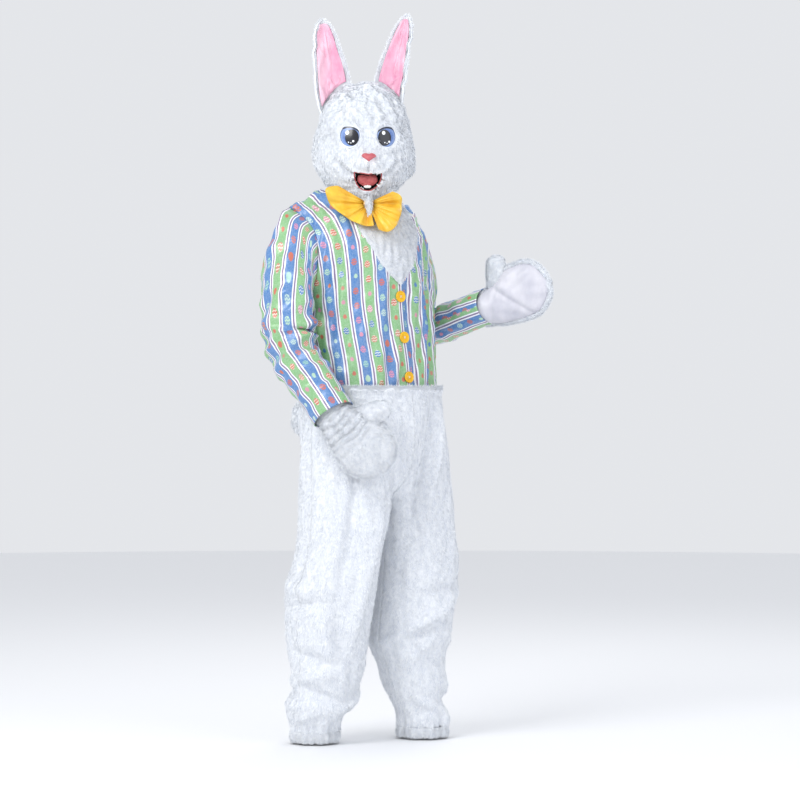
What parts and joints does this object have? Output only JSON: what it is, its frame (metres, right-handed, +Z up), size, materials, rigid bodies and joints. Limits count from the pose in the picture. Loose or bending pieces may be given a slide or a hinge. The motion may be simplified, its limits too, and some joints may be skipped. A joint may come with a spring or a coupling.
{
  "type": "easter bunny costume",
  "caption": "Hollow full-body rabbit costume: striped satin jacket on plush trousers, mask head with ears, mitts and bow tie.",
  "frame": {"origin": "middle of the neckline, where the wearer's neck and shoulders carry the costume", "axes": "+Z up, -Y the way the jacket faces, -X the wearer's right side"},
  "size_m": [0.6366, 0.6157, 1.8542],
  "materials": {
    "printed_satin": "printed satin",
    "white_plush": "short plush",
    "white_satin": "satin",
    "pink_satin": "satin",
    "yellow_satin": "satin",
    "yellow_plastic": "gloss",
    "eye_enamel": "gloss",
    "coral_nose": "matte",
    "black_mouth": "matte",
    "coral_tongue": "matte",
    "white_teeth": "satin"
  },
  "bodies": {
    "root": {"jacket_front_right": "printed_satin", "jacket_front_left": "printed_satin", "jacket_back_right": "printed_satin", "jacket_back_left": "printed_satin", "back_placket": "printed_satin", "sleeve_right": "printed_satin", "sleeve_left": "printed_satin", "chest_insert": "white_plush", "neck_band": "white_plush", "trouser_front_right": "white_plush", "trouser_front_left": "white_plush", "trouser_back_right": "white_plush", "trouser_back_left": "white_plush", "ankle_casing_right": "white_plush", "ankle_casing_left": "white_plush", "tail": "white_plush", "button_1": "yellow_plastic", "button_2": "yellow_plastic", "button_3": "yellow_plastic", "mitt_right_back": "white_plush", "mitt_right_palm": "white_satin", "mitt_right_thumb": "white_plush", "mitt_left_back": "white_plush", "mitt_left_palm": "white_satin", "mitt_left_thumb": "white_plush", "bow_wing_right": "yellow_satin", "bow_wing_left": "yellow_satin", "bow_knot": "yellow_satin", "mask_face": "white_plush", "mask_back": "white_plush", "ear_right": "white_plush", "ear_right_lining": "pink_satin", "ear_left": "white_plush", "ear_left_lining": "pink_satin", "eye_right": "eye_enamel", "eye_left": "eye_enamel", "nose": "coral_nose", "mouth_lining": "black_mouth", "tongue": "coral_tongue", "teeth": "white_teeth"}
  },
  "joints": []
}
